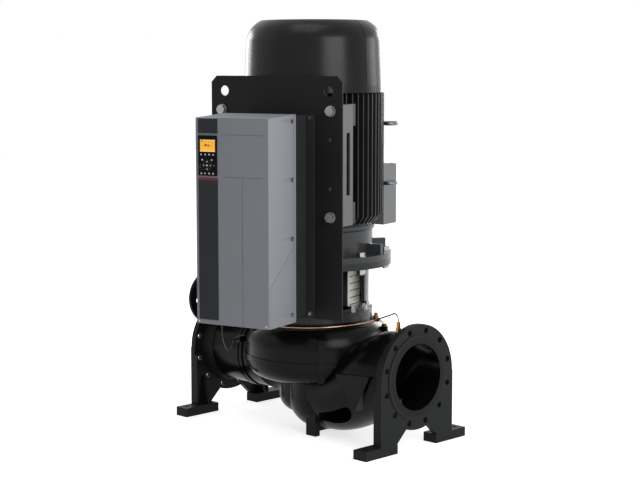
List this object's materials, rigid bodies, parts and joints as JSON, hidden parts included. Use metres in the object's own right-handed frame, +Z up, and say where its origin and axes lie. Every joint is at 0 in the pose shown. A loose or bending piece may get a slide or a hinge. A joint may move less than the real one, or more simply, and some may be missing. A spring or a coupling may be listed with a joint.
{
  "type": "inline centrifugal pump",
  "caption": "Vertical inline centrifugal pump with flanged ports, a finned motor on a stool above the casing and a speed drive with key panel on a plate in front.",
  "frame": {"origin": "floor level, midway between the two flange faces on the pipe's centre line, the middle of the four foot bolts", "axes": "+X along the pipe towards the inlet flange, +Y to the back, away from the speed drive, +Z up along the motor shaft"},
  "size_m": [1.06, 1.0329, 1.585],
  "materials": {
    "cast_casing": "dark satin paint over cast iron",
    "zinc_steel": "zinc plated",
    "bronze": "machined bronze",
    "seal_ceramic": "lapped ceramic face",
    "seal_carbon": "carbon seal face",
    "stainless_sheet": "brushed stainless sheet",
    "motor_paint": "satin grey-black paint",
    "lamination": "varnished laminations",
    "bearing_steel": "ground steel",
    "cover_paint": "satin paint on pressed sheet",
    "plate_paint": "matt black powder coat",
    "bracket_steel": "grey coated sheet",
    "black_plastic": "moulded, matt",
    "grey_plastic": "moulded, fine grain",
    "strip_plastic": "moulded, satin",
    "panel_plastic": "moulded, satin",
    "amber_glass": "amber display window",
    "screw_steel": "dark zinc",
    "gland_plastic": "black nylon",
    "copper_tube": "bright copper",
    "brass_fitting": "turned brass",
    "cable_rubber": "black sheath",
    "shaft_steel": "ground stainless steel",
    "coupling_iron": "primed cast halves",
    "key_rubber": "rubber key tops"
  },
  "bodies": {
    "pump": {"volute_casing": "cast_casing", "inlet_stand": "cast_casing", "outlet_stand": "cast_casing", "lifting_lug": "cast_casing", "casing_cover": "cast_casing", "motor_stool": "cast_casing", "casing_studs": "zinc_steel", "wear_ring": "bronze", "seal_seat": "seal_ceramic", "coupling_guard_right": "stainless_sheet", "coupling_guard_left": "stainless_sheet", "hex_bolts": "zinc_steel", "lower_end_shield": "motor_paint", "motor_frame": "motor_paint", "stator_core": "lamination", "upper_end_shield": "motor_paint", "lower_bearing": "bearing_steel", "upper_bearing": "bearing_steel", "fan_cover": "cover_paint", "terminal_box": "motor_paint", "terminal_box_lid": "motor_paint", "eyebolts": "zinc_steel", "mounting_plate": "plate_paint", "side_bracket_right": "bracket_steel", "side_bracket_left": "bracket_steel", "drive_frame": "black_plastic", "drive_cover": "grey_plastic", "front_strip": "strip_plastic", "control_panel": "panel_plastic", "display": "amber_glass", "panel_screws": "screw_steel", "cable_glands": "gland_plastic", "flush_line": "copper_tube", "pipe_fittings": "brass_fitting", "sensor_cable": "cable_rubber", "pressure_sensor": "gland_plastic"},
    "rotor": {"motor_shaft": "shaft_steel", "rotor_core": "lamination", "cooling_fan": "gland_plastic", "coupling": "coupling_iron", "coupling_screws": "zinc_steel", "pump_shaft": "shaft_steel", "impeller": "bronze", "impeller_nut": "shaft_steel", "seal_ring": "seal_carbon"},
    "menu_key_1_body": {"menu_key_1": "key_rubber"},
    "menu_key_2_body": {"menu_key_2": "key_rubber"},
    "menu_key_3_body": {"menu_key_3": "key_rubber"},
    "menu_key_4_body": {"menu_key_4": "key_rubber"},
    "back_key_body": {"back_key": "key_rubber"},
    "cancel_key_body": {"cancel_key": "key_rubber"},
    "up_key_body": {"up_key": "key_rubber"},
    "ok_key_body": {"ok_key": "key_rubber"},
    "left_key_body": {"left_key": "key_rubber"},
    "right_key_body": {"right_key": "key_rubber"},
    "down_key_body": {"down_key": "key_rubber"},
    "mode_key_1_body": {"mode_key_1": "key_rubber"},
    "mode_key_2_body": {"mode_key_2": "key_rubber"},
    "mode_key_3_body": {"mode_key_3": "key_rubber"},
    "mode_key_4_body": {"mode_key_4": "key_rubber"}
  },
  "joints": [
    {"name": "rotor_spin", "type": "hinge", "parent": "pump", "child": "rotor", "pos_m": [-0.0135, 0, 0], "axis": [0, 0, 1], "continuous": true},
    {"name": "menu_key_1_press", "type": "slide", "parent": "pump", "child": "menu_key_1_body", "axis": [-0.2605, 0.9655, 0], "range_m": [0, 0.0012], "stiffness_N_per_m": 1200},
    {"name": "menu_key_2_press", "type": "slide", "parent": "pump", "child": "menu_key_2_body", "axis": [-0.2605, 0.9655, 0], "range_m": [0, 0.0012], "stiffness_N_per_m": 1200},
    {"name": "menu_key_3_press", "type": "slide", "parent": "pump", "child": "menu_key_3_body", "axis": [-0.2605, 0.9655, 0], "range_m": [0, 0.0012], "stiffness_N_per_m": 1200},
    {"name": "menu_key_4_press", "type": "slide", "parent": "pump", "child": "menu_key_4_body", "axis": [-0.2605, 0.9655, 0], "range_m": [0, 0.0012], "stiffness_N_per_m": 1200},
    {"name": "back_key_press", "type": "slide", "parent": "pump", "child": "back_key_body", "axis": [-0.2605, 0.9655, 0], "range_m": [0, 0.0012], "stiffness_N_per_m": 1200},
    {"name": "cancel_key_press", "type": "slide", "parent": "pump", "child": "cancel_key_body", "axis": [-0.2605, 0.9655, 0], "range_m": [0, 0.0012], "stiffness_N_per_m": 1200},
    {"name": "up_key_press", "type": "slide", "parent": "pump", "child": "up_key_body", "axis": [-0.2605, 0.9655, 0], "range_m": [0, 0.0012], "stiffness_N_per_m": 1200},
    {"name": "ok_key_press", "type": "slide", "parent": "pump", "child": "ok_key_body", "axis": [-0.2605, 0.9655, 0], "range_m": [0, 0.0012], "stiffness_N_per_m": 1200},
    {"name": "left_key_press", "type": "slide", "parent": "pump", "child": "left_key_body", "axis": [-0.2605, 0.9655, 0], "range_m": [0, 0.0012], "stiffness_N_per_m": 1200},
    {"name": "right_key_press", "type": "slide", "parent": "pump", "child": "right_key_body", "axis": [-0.2605, 0.9655, 0], "range_m": [0, 0.0012], "stiffness_N_per_m": 1200},
    {"name": "down_key_press", "type": "slide", "parent": "pump", "child": "down_key_body", "axis": [-0.2605, 0.9655, 0], "range_m": [0, 0.0012], "stiffness_N_per_m": 1200},
    {"name": "mode_key_1_press", "type": "slide", "parent": "pump", "child": "mode_key_1_body", "axis": [-0.2605, 0.9655, 0], "range_m": [0, 0.0012], "stiffness_N_per_m": 1200},
    {"name": "mode_key_2_press", "type": "slide", "parent": "pump", "child": "mode_key_2_body", "axis": [-0.2605, 0.9655, 0], "range_m": [0, 0.0012], "stiffness_N_per_m": 1200},
    {"name": "mode_key_3_press", "type": "slide", "parent": "pump", "child": "mode_key_3_body", "axis": [-0.2605, 0.9655, 0], "range_m": [0, 0.0012], "stiffness_N_per_m": 1200},
    {"name": "mode_key_4_press", "type": "slide", "parent": "pump", "child": "mode_key_4_body", "axis": [-0.2605, 0.9655, 0], "range_m": [0, 0.0012], "stiffness_N_per_m": 1200}
  ]
}
